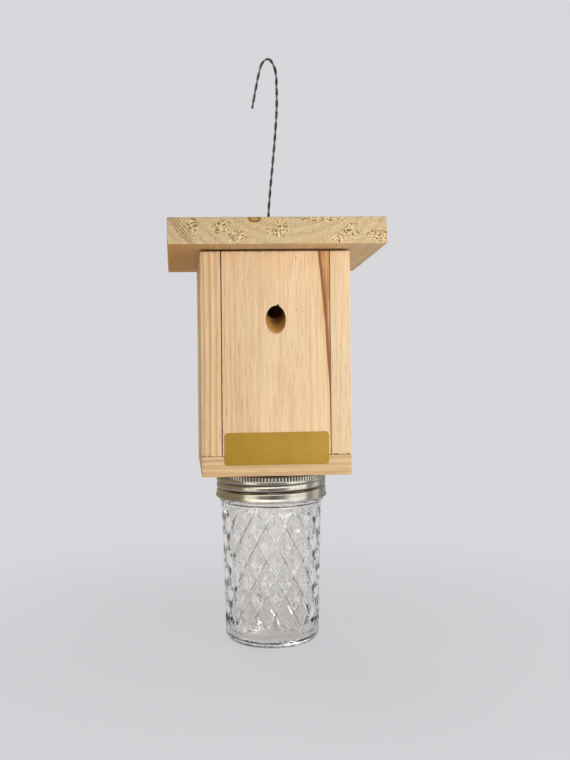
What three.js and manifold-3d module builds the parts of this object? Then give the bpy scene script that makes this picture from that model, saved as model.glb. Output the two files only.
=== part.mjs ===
// Carpenter bee trap: a pine box with slanting entry holes under a sloping roof, a glass jar screwed
// up below it by a threaded band, and a hook of two twisted wires through the roof.
// Millimetres, +Z up. The jar stands on Z = 0 about the Z axis, and the front of the box faces -Y.
import * as THREE from "three";
import { mergeVertices } from "three/addons/utils/BufferGeometryUtils.js";
import Module from "manifold-3d";

const wasm = await Module();
wasm.setup();

// Driving dimensions: the box and its boards
const boxWidth = 93.4;
const boxDepth = 93.4;
const boxFrontHeight = 140.5;
const boardThickness = 12.7;
const frontThickness = 10;
const sideOverhang = 20;
const endOverhang = 20;
const roofThickness = 16.8;
const roofSlope = THREE.MathUtils.degToRad(5.8);

// Driving dimensions: the ways in, for the bees and down to the jar
const entryBore = 12.7;
const entryDrop = 43.8;
const entryRise = THREE.MathUtils.degToRad(45);
const throatBore = 22.2;

// Driving dimensions: the bare label plate
const labelWidth = 65;
const labelHeight = 20.1;
const labelThickness = 0.5;
const labelCorner = 2.2;
const labelBase = 7.1;

// Driving dimensions: the jar
const jarHeight = 110.9;
const jarFootRadius = 30.65;
const jarTopRadius = 33.05;
const jarHeelRadius = 6.5;
const jarWall = 3;
const jarFloor = 4.6;
const jarPushUp = 1.6;
const restRingWidth = 3.4;
const beadRadius = 34.3;
const beadHeight = 2.2;
const beadDrop = 17.1;
const finishRadius = 33.3;
const finishWall = 3.1;
const rimRound = 0.8;

// Driving dimensions: the thread that the jar and the band share
const threadPitch = 4.233;
const threadTurns = 1.3;
const threadStart = 6.2;
const jarRidge = 1.4;
const jarRidgeWidth = 2.2;
const bandRidge = 1.3;
const bandRidgeWidth = 1.5;

// Driving dimensions: the band, the lid and its gasket
const bandRadius = 35.85;
const bandSheet = 0.5;
const bandHeight = 18.7;
const bandLipWidth = 4.7;
const curlAcross = 73;
const lidThickness = 0.6;
const lidPanelMargin = 6;
const lidStepRun = 1.1;
const gasketThickness = 0.8;
const gasketWidth = 3.2;

// Driving dimensions: the fasteners
const nailShank = 1.8;
const nailHead = 3.4;
const nailHeadThickness = 0.9;
const nailPoint = 2.4;
const longNail = 38;
const shortNail = 30;
const nailInset = 16.7;
const nailEdge = 22;
const screwShank = 3;
const screwHead = 6;
const screwHeadThickness = 1.9;
const screwLength = 11;
const screwPoint = 2.6;
const screwCircle = 40;

// Driving dimensions: the hanging wire
const strandThickness = 0.95;
const strandSpacing = 1.3;
const twistLength = 15;
const hangerRise = 115.6;
const hookSpan = 16.3;
const wireBore = 5;
const footLength = 7;
const footBend = 1.6;
const washerWidth = 18;
const washerThickness = 1.2;

// Clearances
const seatGap = 0.3;
const turnGap = 0.3;
const shankGap = 0.3;
const threadGap = 0.35;
const overrun = 2;

// Counts of sides and steps for the round shapes
const turnedSides = 48;
const boreSides = 20;
const smallSides = 8;
const wireSides = 6;
const stepsPerTwist = 8;
const threadStepsPerTurn = 32;
const arcSteps = 4;
const screwCount = 3;

// Derived sizes and places
const roofWidth = boxWidth + sideOverhang + sideOverhang;
const roofLength = boxDepth + endOverhang + endOverhang;
const lipSpace = bandSheet + turnGap + turnGap;
const boxBase = jarHeight + gasketThickness + lidThickness + lipSpace;
const boxTop = boxBase + boxFrontHeight;
const sideBase = boxBase + boardThickness;
const halfWidth = boxWidth / 2;
const halfDepth = boxDepth / 2;
const innerHalfWidth = halfWidth - boardThickness;
const sideMiddle = halfWidth - boardThickness / 2;
const frontMiddle = -halfDepth + frontThickness / 2;
const backMiddle = halfDepth - boardThickness / 2;
const entryHeight = boxTop - entryDrop;
const bandInnerRadius = bandRadius - bandSheet;
const curlRadius = (curlAcross / 2 - bandInnerRadius) / 2;
const lidRadius = bandInnerRadius - turnGap;
const lidPanelRadius = lidRadius - lidPanelMargin;

// Materials, one for each piece's own colour and finish
function material(color, roughness, metalness) {
  return new THREE.MeshStandardMaterial({ color, roughness, metalness });
}
const sawnPine = material(0xe2c295, 0.75, 0);
const roofPine = material(0xdcb983, 0.75, 0);
const goldSheet = material(0xa5822d, 0.45, 0.8);
const satinSteel = material(0xbfc0bd, 0.35, 1);
const tinPlate = material(0xc9c9c6, 0.4, 1);
const sealant = material(0xb4532e, 0.7, 0);
const clearGlass = material(0xb9c6c4, 0.08, 0);
const darkSteel = material(0x4b4d4e, 0.45, 0.9);
const brightNail = material(0x9a9a96, 0.4, 1);

// Booleans on closed meshes
function toSolid(geometry) {
  const bare = geometry.clone();
  bare.deleteAttribute("normal");
  bare.deleteAttribute("uv");
  const merged = mergeVertices(bare.index ? bare.toNonIndexed() : bare);
  return new wasm.Manifold(new wasm.Mesh({
    numProp: 3,
    vertProperties: new Float32Array(merged.attributes.position.array),
    triVerts: new Uint32Array(merged.index.array),
  }));
}

function toGeometry(solid) {
  const mesh = solid.getMesh();
  const geometry = new THREE.BufferGeometry();
  geometry.setAttribute("position", new THREE.BufferAttribute(mesh.vertProperties, mesh.numProp));
  geometry.setIndex(new THREE.BufferAttribute(mesh.triVerts, 1));
  return geometry;
}

function cut(geometry, cutters) {
  let solid = toSolid(geometry);
  for (const cutter of cutters) {
    solid = solid.subtract(toSolid(cutter));
  }
  return toGeometry(solid);
}

function join(geometry, added) {
  return toGeometry(toSolid(geometry).add(toSolid(added)));
}

// A turned shape: an outline of [radius, height] points about the Z axis, in either order
function turned(outline, sides) {
  const points = outline.map(([radius, height]) => new THREE.Vector2(radius, height));
  if (THREE.ShapeUtils.isClockWise(points)) {
    points.reverse();
  }
  const geometry = new THREE.LatheGeometry(points, sides);
  return geometry.rotateX(Math.PI / 2);
}

function closed(outline) {
  return [...outline, outline[0]];
}

// Points on an arc about a centre, for an outline
function arc(centre, radius, from, to) {
  const points = [];
  for (let step = 0; step <= arcSteps; step += 1) {
    const angle = from + (to - from) * step / arcSteps;
    points.push([centre[0] + radius * Math.cos(angle), centre[1] + radius * Math.sin(angle)]);
  }
  return points;
}

function rod(diameter, low, high, sides) {
  const geometry = new THREE.CylinderGeometry(diameter / 2, diameter / 2, high - low, sides);
  geometry.rotateX(Math.PI / 2);
  return geometry.translate(0, 0, (low + high) / 2);
}

function block(width, depth, height) {
  return new THREE.BoxGeometry(width, depth, height);
}

// Fasteners: each has a frame whose origin is the middle of its head's outer face and whose -Z drives in
function driven(name, point, direction) {
  const turn = new THREE.Quaternion().setFromUnitVectors(new THREE.Vector3(0, 0, -1), direction);
  const frame = new THREE.Matrix4().compose(point, turn, new THREE.Vector3(1, 1, 1));
  return { name, point, turn, frame };
}

function nailShape(length) {
  return turned([
    [0, -length],
    [nailShank / 2, nailPoint - length],
    [nailShank / 2, -nailHeadThickness],
    [nailHead / 2, -nailHeadThickness],
    [nailHead / 2, 0],
    [0, 0],
  ], smallSides);
}

function nailRoom(length) {
  const headRoom = nailHead / 2 + shankGap;
  const shankRoom = nailShank / 2 + shankGap;
  return turned([
    [0, -length - shankGap],
    [shankRoom, -length - shankGap],
    [shankRoom, -nailHeadThickness - shankGap],
    [headRoom, -nailHeadThickness - shankGap],
    [headRoom, overrun],
    [0, overrun],
  ], smallSides);
}

const down = new THREE.Vector3(0, 0, -1);
const up = new THREE.Vector3(0, 0, 1);

// The roof's frame: turned about X so that it falls to the back, and lifted onto the sloping box top
const roofLift = (roofThickness / 2 + seatGap - Math.sin(roofSlope) * halfDepth) / Math.cos(roofSlope);
const roofHeight = boxTop + roofLift;
const roofFrame = new THREE.Matrix4().makeRotationX(-roofSlope).setPosition(0, 0, roofHeight);
const roofTopMiddle = roofHeight + roofThickness / 2 / Math.cos(roofSlope);
const roofUnderMiddle = roofHeight - roofThickness / 2 / Math.cos(roofSlope);

// Roof nails go square through the roof into the side boards' middles
const roofNails = [];
for (const across of [-1, 1]) {
  for (const along of [-1, 1]) {
    const point = new THREE.Vector3(across * sideMiddle, along * (halfDepth - nailInset), roofThickness / 2);
    point.applyMatrix4(roofFrame);
    const direction = down.clone().transformDirection(roofFrame);
    roofNails.push(driven(`roof_nail_${roofNails.length + 1}`, point, direction));
  }
}

// Bottom nails go up through the bottom board into the side boards' middles
const bottomNails = [];
for (const across of [-1, 1]) {
  for (const along of [-1, 1]) {
    const point = new THREE.Vector3(across * sideMiddle, along * (halfDepth - nailInset), boxBase);
    bottomNails.push(driven(`bottom_nail_${bottomNails.length + 1}`, point, up));
  }
}

// Side nails go through each side board into the ends of the front and back boards
const sideNails = { left: [], right: [] };
for (const [side, across] of [["left", -1], ["right", 1]]) {
  for (const along of [frontMiddle, backMiddle]) {
    const topHere = boxTop - (along + halfDepth) * Math.tan(roofSlope);
    for (const height of [sideBase + nailEdge, topHere - nailEdge]) {
      const point = new THREE.Vector3(across * halfWidth, along, height);
      const direction = new THREE.Vector3(-across, 0, 0);
      sideNails[side].push(driven(`${side}_nail_${sideNails[side].length + 1}`, point, direction));
    }
  }
}

const roofNailRoom = nailRoom(longNail);
const sideNailRoom = nailRoom(shortNail);

function roomsFor(nails, room) {
  return nails.map((nail) => room.clone().applyMatrix4(nail.frame));
}

// An entry's bore: its middle on an outer face a distance from the axis, rising inwards, turned about Z
function entryCutter(reach, turn) {
  const bore = rod(entryBore, -reach, reach, boreSides);
  bore.rotateX(entryRise - Math.PI / 2);
  bore.translate(0, -reach, entryHeight);
  return bore.rotateZ(turn);
}

// A wall board with its top cut to the roof's slope, between two depths and two widths
function wallBoard(front, back, left, right) {
  const topAt = (depth) => boxTop - (depth + halfDepth) * Math.tan(roofSlope);
  const outline = new THREE.Shape([
    new THREE.Vector2(front, sideBase),
    new THREE.Vector2(back, sideBase),
    new THREE.Vector2(back, topAt(back)),
    new THREE.Vector2(front, topAt(front)),
  ]);
  const board = new THREE.ExtrudeGeometry(outline, { depth: right - left, steps: 1, bevelEnabled: false });
  const stand = new THREE.Matrix4().makeBasis(
    new THREE.Vector3(0, 1, 0),
    new THREE.Vector3(0, 0, 1),
    new THREE.Vector3(1, 0, 0),
  );
  return board.applyMatrix4(stand).translate(left, 0, 0);
}

function frontBoard() {
  const board = wallBoard(-halfDepth, frontThickness - halfDepth, -innerHalfWidth, innerHalfWidth);
  const nails = [...sideNails.left.slice(0, 2), ...sideNails.right.slice(0, 2)];
  return cut(board, [entryCutter(halfDepth, 0), ...roomsFor(nails, sideNailRoom)]);
}

function backBoard() {
  const board = wallBoard(halfDepth - boardThickness, halfDepth, -innerHalfWidth, innerHalfWidth);
  const nails = [...sideNails.left.slice(2), ...sideNails.right.slice(2)];
  return cut(board, roomsFor(nails, sideNailRoom));
}

function sideBoard(side, across) {
  const inner = across * innerHalfWidth;
  const outer = across * halfWidth;
  const board = wallBoard(-halfDepth, halfDepth, Math.min(inner, outer), Math.max(inner, outer));
  return cut(board, [
    entryCutter(halfWidth, across * Math.PI / 2),
    ...roomsFor(sideNails[side], sideNailRoom),
    ...roomsFor([...roofNails, ...bottomNails], roofNailRoom),
  ]);
}

// The lid screws' places, in a ring about the throat, driven up into the bottom board
const lidUnderside = boxBase - lidThickness;
const lidScrews = [];
for (let index = 0; index < screwCount; index += 1) {
  const angle = Math.PI / 2 + index * 2 * Math.PI / screwCount;
  const place = new THREE.Vector3(Math.cos(angle), Math.sin(angle), 0).multiplyScalar(screwCircle / 2);
  place.z = lidUnderside - screwHeadThickness;
  lidScrews.push(driven(`lid_screw_${index + 1}`, place, up));
}

function screwRooms() {
  const reach = screwHeadThickness + screwLength + shankGap;
  const room = rod(screwShank + shankGap + shankGap, -reach, 0, smallSides);
  return lidScrews.map((screw) => room.clone().applyMatrix4(screw.frame));
}

function bottomBoard() {
  const board = block(boxWidth, boxDepth, boardThickness).translate(0, 0, boxBase + boardThickness / 2);
  const throat = rod(throatBore, boxBase - overrun, sideBase + overrun, boreSides);
  return cut(board, [throat, ...screwRooms(), ...roomsFor(bottomNails, roofNailRoom)]);
}

// The roof board is shaped in its own frame, so what is cut from it is brought into that frame
function roofBoard() {
  const toRoof = roofFrame.clone().invert();
  const reach = roofThickness + overrun;
  const bore = rod(wireBore, roofHeight - reach, roofHeight + reach, boreSides);
  const cutters = [bore, ...roomsFor(roofNails, roofNailRoom)];
  const board = block(roofWidth, roofLength, roofThickness);
  return cut(board, cutters.map((cutter) => cutter.applyMatrix4(toRoof)));
}

function labelPlate() {
  const x = labelWidth / 2;
  const y = labelHeight / 2;
  const r = labelCorner;
  const outline = new THREE.Shape();
  outline.absarc(x - r, y - r, r, 0, Math.PI / 2);
  outline.absarc(r - x, y - r, r, Math.PI / 2, Math.PI);
  outline.absarc(r - x, r - y, r, Math.PI, Math.PI * 3 / 2);
  outline.absarc(x - r, r - y, r, Math.PI * 3 / 2, Math.PI * 2);
  const plate = new THREE.ExtrudeGeometry(outline, {
    depth: labelThickness,
    steps: 1,
    bevelEnabled: false,
    curveSegments: arcSteps / 2,
  });
  return plate.rotateX(Math.PI / 2);
}

// The jar's outline, up the outside from the middle of the base, over the rim and down the inside
function jarOutline() {
  const restRadius = jarFootRadius - jarHeelRadius;
  const beadTop = jarHeight - beadDrop;
  const beadBase = beadTop - beadHeight;
  const shoulder = beadBase - beadHeight;
  const innerFoot = jarFootRadius - jarWall;
  const innerCorner = jarHeelRadius - jarWall / 2;
  const floorEdge = [innerFoot - innerCorner, jarFloor + innerCorner];
  const rimOuter = [finishRadius - rimRound, jarHeight - rimRound];
  const rimInner = [finishRadius - finishWall + rimRound, jarHeight - rimRound];
  return [
    [0, jarPushUp],
    [restRadius - restRingWidth - jarPushUp, jarPushUp],
    [restRadius - restRingWidth, 0],
    ...arc([restRadius, jarHeelRadius], jarHeelRadius, -Math.PI / 2, 0),
    [jarTopRadius, shoulder],
    [jarTopRadius, beadBase],
    [beadRadius, beadBase + beadHeight / 4],
    [beadRadius, beadTop - beadHeight / 4],
    [finishRadius, beadTop],
    ...arc(rimOuter, rimRound, 0, Math.PI / 2),
    ...arc(rimInner, rimRound, Math.PI / 2, Math.PI),
    [finishRadius - finishWall, beadBase],
    [jarTopRadius - jarWall, shoulder],
    ...arc(floorEdge, innerCorner, 0, -Math.PI / 2),
    [0, jarFloor],
  ];
}

// A thread's ridge on a wall of one radius, standing out (or in, for a negative height) from it. Its
// foot is sunk into the wall, and its height tapers to nothing over a quarter turn at both ends.
function ridge(wall, sunk, height, width, middle) {
  const steps = Math.round(threadTurns * threadStepsPerTurn);
  const foot = wall - Math.sign(height) * sunk;
  const rings = [];
  for (let step = 0; step <= steps; step += 1) {
    const angle = 2 * Math.PI * step / threadStepsPerTurn;
    const ends = Math.min(step, steps - step) / (threadStepsPerTurn / 4);
    const grown = Math.min(1, Math.max(ends, 1 / threadStepsPerTurn));
    const crest = wall + height * grown;
    const climb = middle + threadPitch * (step - steps / 2) / threadStepsPerTurn;
    rings.push([
      [foot, climb - width / 2],
      [crest, climb - width / 4],
      [crest, climb + width / 4],
      [foot, climb + width / 2],
    ].map(([radius, z]) => [radius * Math.cos(angle), radius * Math.sin(angle), z]));
  }
  const corners = rings[0].length;
  const index = [];
  for (let step = 0; step < steps; step += 1) {
    for (let corner = 0; corner < corners; corner += 1) {
      const next = (corner + 1) % corners;
      const a = step * corners + corner;
      const b = step * corners + next;
      index.push(a, b, b + corners, a, b + corners, a + corners);
    }
  }
  const last = steps * corners;
  index.push(0, 2, 1, 0, 3, 2, last, last + 1, last + 2, last, last + 2, last + 3);
  const geometry = new THREE.BufferGeometry();
  geometry.setAttribute("position", new THREE.Float32BufferAttribute(rings.flat(2), 3));
  geometry.setIndex(index);
  if (height > 0) {
    geometry.index.array.reverse();
  }
  return geometry;
}

const jarThreadMiddle = jarHeight - threadStart;

function glassJar() {
  const body = turned(jarOutline(), turnedSides);
  return join(body, ridge(finishRadius, rimRound, jarRidge, jarRidgeWidth, jarThreadMiddle));
}

// The band: a lip under the box, a plain skirt and an outward curl, with its thread inside, lying
// just under the jar's thread so that it draws the jar up
function band() {
  const top = boxBase - turnGap;
  const base = top - bandHeight;
  const curlMiddle = [bandRadius - bandSheet + curlRadius, base + curlRadius];
  const skirt = turned(closed([
    [bandRadius - bandLipWidth, top],
    [bandRadius - bandLipWidth, top - bandSheet],
    [bandInnerRadius, top - bandSheet],
    ...arc(curlMiddle, curlRadius, Math.PI, Math.PI * 5 / 2),
    [bandRadius, base + curlRadius + curlRadius],
    [bandRadius, top - bandSheet],
    [bandRadius - bandSheet, top],
  ]), turnedSides);
  const below = jarRidgeWidth / 4 + bandRidgeWidth / 4 + jarRidge / 2 + threadGap;
  const inside = ridge(bandInnerRadius, bandSheet / 2, -bandRidge, bandRidgeWidth, jarThreadMiddle - below);
  return join(skirt, inside);
}

// The lid: a raised panel against the box, and a lower flange that leaves room for the band's lip
function jarLid() {
  const stepRadius = lidPanelRadius + lidStepRun;
  const disc = turned(closed([
    [throatBore / 2, boxBase],
    [lidPanelRadius, boxBase],
    [stepRadius, boxBase - lipSpace],
    [lidRadius, boxBase - lipSpace],
    [lidRadius, boxBase - lipSpace - lidThickness],
    [stepRadius - lidThickness / 2, boxBase - lipSpace - lidThickness],
    [lidPanelRadius - lidThickness / 2, lidUnderside],
    [throatBore / 2, lidUnderside],
  ]), turnedSides);
  return cut(disc, screwRooms());
}

function lidGasket() {
  const outer = lidRadius - turnGap;
  return turned(closed([
    [outer - gasketWidth, jarHeight],
    [outer, jarHeight],
    [outer, jarHeight + gasketThickness],
    [outer - gasketWidth, jarHeight + gasketThickness],
  ]), turnedSides);
}

function screwShape() {
  const tip = -screwHeadThickness - screwLength;
  return turned([
    [0, tip],
    [screwShank / 2, tip + screwPoint],
    [screwShank / 2, -screwHeadThickness],
    [screwHead / 2, -screwHeadThickness],
    [screwHead / 2, -screwHeadThickness / 2],
    [screwHead / 4, 0],
    [0, 0],
  ], smallSides);
}

// The hanging wire's middle line, in shares of the hook's span and of its rise above the roof
const hookShares = [
  [0, 0.1], [0.08, 0.25], [0.19, 0.4], [0.29, 0.55], [0.37, 0.71], [0.375, 0.83], [0.31, 0.945],
  [0.05, 1], [-0.2, 0.975], [-0.33, 0.92], [-0.44, 0.85], [-0.625, 0.715],
];

// The wire's feet spread under the washer, clear of its lower side whichever way the hook is turned
const washerReach = washerWidth / 2;
const washerDrop = seatGap + washerThickness;
const washerBase = roofUnderMiddle - washerDrop / Math.cos(roofSlope);
const footHeight = washerBase - washerReach * Math.tan(roofSlope) - turnGap - strandThickness / 2;

function hangerAxis() {
  const points = [
    new THREE.Vector3(0, 0, footHeight + footBend),
    new THREE.Vector3(0, 0, roofHeight),
    new THREE.Vector3(0, 0, roofTopMiddle),
  ];
  for (const [acrossShare, upShare] of hookShares) {
    points.push(new THREE.Vector3(acrossShare * hookSpan, 0, roofTopMiddle + upShare * hangerRise));
  }
  return new THREE.CatmullRomCurve3(points, false, "centripetal");
}

// One strand: a foot out to one side, then a helix about the wire's middle line
function hangerStrand(side) {
  const axis = hangerAxis();
  const turns = axis.getLength() / twistLength;
  const steps = Math.round(turns * stepsPerTwist);
  const points = [new THREE.Vector3(side * footLength, 0, footHeight)];
  for (let step = 0; step < arcSteps; step += 1) {
    const angle = Math.PI / 2 * step / arcSteps;
    const out = strandSpacing / 2 + footBend - footBend * Math.sin(angle);
    const rise = footBend - footBend * Math.cos(angle);
    points.push(new THREE.Vector3(side * out, 0, footHeight + rise));
  }
  for (let step = 0; step <= steps; step += 1) {
    const share = step / steps;
    const point = axis.getPointAt(share);
    const tangent = axis.getTangentAt(share);
    const outward = new THREE.Vector3(tangent.z, 0, -tangent.x);
    const angle = 2 * Math.PI * turns * share;
    const reach = side * strandSpacing / 2;
    point.addScaledVector(outward, reach * Math.cos(angle));
    point.y += reach * Math.sin(angle);
    points.push(point);
  }
  const route = new THREE.CatmullRomCurve3(points, false, "centripetal");
  const section = new THREE.Shape();
  section.absarc(0, 0, strandThickness / 2, 0, Math.PI * 2);
  return new THREE.ExtrudeGeometry(section, {
    steps: points.length,
    curveSegments: wireSides / 2,
    extrudePath: route,
  });
}

function hangerWasher() {
  const disc = rod(washerWidth, -washerThickness / 2, washerThickness / 2, boreSides);
  return cut(disc, [rod(wireBore, -washerThickness, washerThickness, boreSides)]);
}

// The scene graph
const trap = new THREE.Group();

function add(parent, name, geometry, finish) {
  const mesh = new THREE.Mesh(geometry, finish);
  mesh.name = name;
  parent.add(mesh);
  return mesh;
}

function addDriven(fasteners, shape, finish) {
  for (const fastener of fasteners) {
    const mesh = add(trap, fastener.name, shape, finish);
    mesh.position.copy(fastener.point);
    mesh.quaternion.copy(fastener.turn);
  }
}

// The box
add(trap, "front_board", frontBoard(), sawnPine);
add(trap, "back_board", backBoard(), sawnPine);
add(trap, "left_side_board", sideBoard("left", -1), sawnPine);
add(trap, "right_side_board", sideBoard("right", 1), sawnPine);
add(trap, "bottom_board", bottomBoard(), sawnPine);
const label = add(trap, "label_plate", labelPlate(), goldSheet);
label.position.set(0, -halfDepth, boxBase + labelBase + labelHeight / 2);
addDriven([...sideNails.left, ...sideNails.right], nailShape(shortNail), brightNail);
addDriven(bottomNails, nailShape(longNail), brightNail);

// The roof and what is fixed to it
const roof = new THREE.Group();
roof.applyMatrix4(roofFrame);
trap.add(roof);
add(roof, "roof_board", roofBoard(), roofPine);
const washer = add(roof, "hanger_washer", hangerWasher(), tinPlate);
washer.position.set(0, Math.tan(roofSlope) * roofThickness / 2, -roofThickness / 2 - washerDrop + washerThickness / 2);
addDriven(roofNails, nailShape(longNail), brightNail);

// The jar and what closes it
add(trap, "jar_lid", jarLid(), tinPlate);
add(trap, "lid_gasket", lidGasket(), sealant);
addDriven(lidScrews, screwShape(), brightNail);
add(trap, "jar_band", band(), satinSteel);
add(trap, "glass_jar", glassJar(), clearGlass);

// The hanging wire
add(trap, "hanger_strand_a", hangerStrand(1), darkSteel);
add(trap, "hanger_strand_b", hangerStrand(-1), darkSteel);

export default trap;
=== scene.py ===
import math

import bmesh
import bpy
from mathutils import Matrix, Vector, kdtree, noise


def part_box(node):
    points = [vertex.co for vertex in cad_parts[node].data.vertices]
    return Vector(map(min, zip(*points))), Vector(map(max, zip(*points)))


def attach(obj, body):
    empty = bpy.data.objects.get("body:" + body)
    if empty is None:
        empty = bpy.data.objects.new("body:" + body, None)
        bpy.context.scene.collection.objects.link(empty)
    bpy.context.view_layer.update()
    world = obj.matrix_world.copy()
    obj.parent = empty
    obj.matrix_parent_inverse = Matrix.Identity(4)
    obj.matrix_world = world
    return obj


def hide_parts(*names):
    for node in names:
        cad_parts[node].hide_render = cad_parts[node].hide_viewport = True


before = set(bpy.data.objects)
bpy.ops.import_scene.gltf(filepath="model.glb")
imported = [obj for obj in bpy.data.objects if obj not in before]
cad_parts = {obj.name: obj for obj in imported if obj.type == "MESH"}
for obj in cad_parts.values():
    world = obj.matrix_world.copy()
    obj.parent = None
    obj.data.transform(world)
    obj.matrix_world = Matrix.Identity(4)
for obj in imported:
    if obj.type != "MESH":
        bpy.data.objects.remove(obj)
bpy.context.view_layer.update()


# The camera
# It is level, a little left of the trap and about as high as the label, and the picture is framed by shift.
# The picture is 570 x 760, and its focal length of 1140 pixels is a 54 mm lens on a 36 mm sensor.
picture_width = 570
picture_height = 760
focal_pixels = 1140
centre_pixels = (262.0, 299.9)
camera_place = Vector((-0.0631, -0.7504, 0.2227))
camera_turn = math.radians(-4.44)
camera_roll = math.radians(-0.55)

camera = bpy.data.objects.new("camera", bpy.data.cameras.new("camera"))
camera.data.sensor_width = 36
camera.data.lens = camera.data.sensor_width * focal_pixels / picture_height
camera.data.shift_x = (picture_width / 2 - centre_pixels[0]) / picture_height
camera.data.shift_y = (centre_pixels[1] - picture_height / 2) / picture_height
camera.data.clip_start = 0.02
camera.matrix_world = (
    Matrix.Translation(camera_place)
    @ Matrix.Rotation(camera_turn, 4, "Z")
    @ Matrix.Rotation(math.pi / 2, 4, "X")
    @ Matrix.Rotation(camera_roll, 4, "Z")
)
bpy.context.collection.objects.link(camera)
bpy.context.scene.camera = camera


# The studio: floor, background and lamps
# A wide pale floor fades into a plain pale background, which metal and glass show too. Near the trap it is
# matt and keeps the shadow. Soft lamps stand at the front right, low in front, at the left and behind.
def paint(red, green, blue):
    """A colour written as it looks on screen, 0 to 255, as linear light."""
    return tuple(
        value / 12.92 if value <= 0.04045 else ((value + 0.055) / 1.055) ** 2.4
        for value in (red / 255, green / 255, blue / 255)
    ) + (1.0,)


class Result:
    """What a node gives. Results are added, subtracted, multiplied and divided as numbers are."""

    def __init__(self, socket):
        self.socket = socket

    def __add__(self, other):
        return calculate("ADD", self, other)

    def __sub__(self, other):
        return calculate("SUBTRACT", self, other)

    def __rsub__(self, other):
        return calculate("SUBTRACT", other, self)

    def __mul__(self, other):
        return calculate("MULTIPLY", self, other)

    def __truediv__(self, other):
        return calculate("DIVIDE", self, other)

    def __pow__(self, other):
        return calculate("POWER", self, other)

    def __abs__(self):
        return calculate("ABSOLUTE", self)

    def spread(self, low, high, to_low=0.0, to_high=1.0, smooth=False):
        """Its range moved to another range, and held within it."""
        return result(
            self.socket.id_data, "ShaderNodeMapRange",
            {"Value": self, "From Min": low, "From Max": high, "To Min": to_low, "To Max": to_high},
            interpolation_type="SMOOTHSTEP" if smooth else "LINEAR",
        )


def add_node(tree, kind, inputs=None, **settings):
    """A node with its settings, and its inputs set to a value or joined to another node's result."""
    node = tree.nodes.new(kind)
    for name, value in settings.items():
        setattr(node, name, value)
    for name, value in (inputs or {}).items():
        if isinstance(value, Result):
            tree.links.new(value.socket, node.inputs[name])
        else:
            node.inputs[name].default_value = value
    return node


def result(tree, kind, inputs=None, output=0, **settings):
    """What a new node gives."""
    return Result(add_node(tree, kind, inputs, **settings).outputs[output])


def tree_of(*values):
    """The node tree of the first result among some values."""
    return next(value.socket.id_data for value in values if isinstance(value, Result))


def calculate(operation, *values):
    """What a Math node gives for some results and numbers."""
    return result(tree_of(*values), "ShaderNodeMath", dict(enumerate(values)), operation=operation)


def any_of(largest, *others):
    """The largest of some results."""
    for other in others:
        largest = calculate("MAXIMUM", largest, other)
    return largest


def empty_tree(owner):
    """The node tree of a world or a material, emptied."""
    owner.use_nodes = True
    owner.node_tree.nodes.clear()
    return owner.node_tree


def ray_kinds(tree):
    """Whether a ray goes straight to the camera, and whether it goes by a reflection or through glass."""
    path = add_node(tree, "ShaderNodeLightPath").outputs
    mirrored = Result(path["Is Glossy Ray"])
    through_glass = Result(path["Is Transmission Ray"])
    return Result(path["Is Camera Ray"]), any_of(mirrored, through_glass)


def make_object(name, mesh_in_progress):
    """An object at the origin that holds a bmesh, which is used up."""
    data = bpy.data.meshes.new(name)
    mesh_in_progress.to_mesh(data)
    mesh_in_progress.free()
    made = bpy.data.objects.new(name, data)
    bpy.context.collection.objects.link(made)
    return made


def bare_material(name):
    """A material without nodes, and its tree."""
    material = bpy.data.materials.new(name)
    return material, empty_tree(material)


background_colour = paint(216, 215, 219)
floor_colour = paint(224, 223, 226)
floor_radius = 6
fade_start = 0.05
fade_end = 0.4
near_glow = 0.72
reflected_fade_end = 0.14
near_reflected_glow = 0.5
sky_light = 0.35
white = (1, 1, 1, 1)
lamp_target = Vector((0, 0, 0.2))

bpy.context.scene.view_settings.view_transform = "Standard"
world = bpy.data.worlds.new("studio")
bpy.context.scene.world = world
tree = empty_tree(world)
to_camera, reflected = ray_kinds(tree)
sky = result(tree, "ShaderNodeBackground", {"Color": white, "Strength": sky_light})
shown = result(tree, "ShaderNodeBackground", {"Color": background_colour, "Strength": 1})
studio_light = result(tree, "ShaderNodeMixShader", {0: any_of(to_camera, reflected), 1: sky, 2: shown})
add_node(tree, "ShaderNodeOutputWorld", {"Surface": studio_light})

floor_mesh = bmesh.new()
bmesh.ops.create_circle(floor_mesh, cap_ends=True, segments=96, radius=floor_radius)
floor = make_object("floor", floor_mesh)
floor_finish, tree = bare_material("floor")
floor.data.materials.append(floor_finish)
place = result(tree, "ShaderNodeTexCoord", output="Object")
distance = result(tree, "ShaderNodeVectorMath", {0: place}, "Value", operation="LENGTH")
to_camera, reflected = ray_kinds(tree)
fade = distance.spread(fade_start, fade_end, near_glow, 1, smooth=True)
reflected_fade = distance.spread(fade_start, reflected_fade_end, near_reflected_glow, 1, smooth=True)
glow_share = any_of(fade * to_camera, reflected_fade * reflected)
matt = result(tree, "ShaderNodeBsdfDiffuse", {"Color": floor_colour})
glow = result(tree, "ShaderNodeEmission", {"Color": background_colour, "Strength": 1})
floor_light = result(tree, "ShaderNodeMixShader", {0: glow_share, 1: matt, 2: glow})
add_node(tree, "ShaderNodeOutputMaterial", {"Surface": floor_light})


def soft_lamp(name, place, width, height, power):
    """A soft lamp turned towards the trap."""
    lamp = bpy.data.objects.new(name, bpy.data.lights.new(name, "AREA"))
    lamp.data.shape = "RECTANGLE"
    lamp.data.size = width
    lamp.data.size_y = height
    lamp.data.energy = power
    turn = (lamp_target - Vector(place)).to_track_quat("-Z", "Y").to_matrix().to_4x4()
    lamp.matrix_world = Matrix.Translation(place) @ turn
    lamp.visible_camera = False
    bpy.context.collection.objects.link(lamp)


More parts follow.
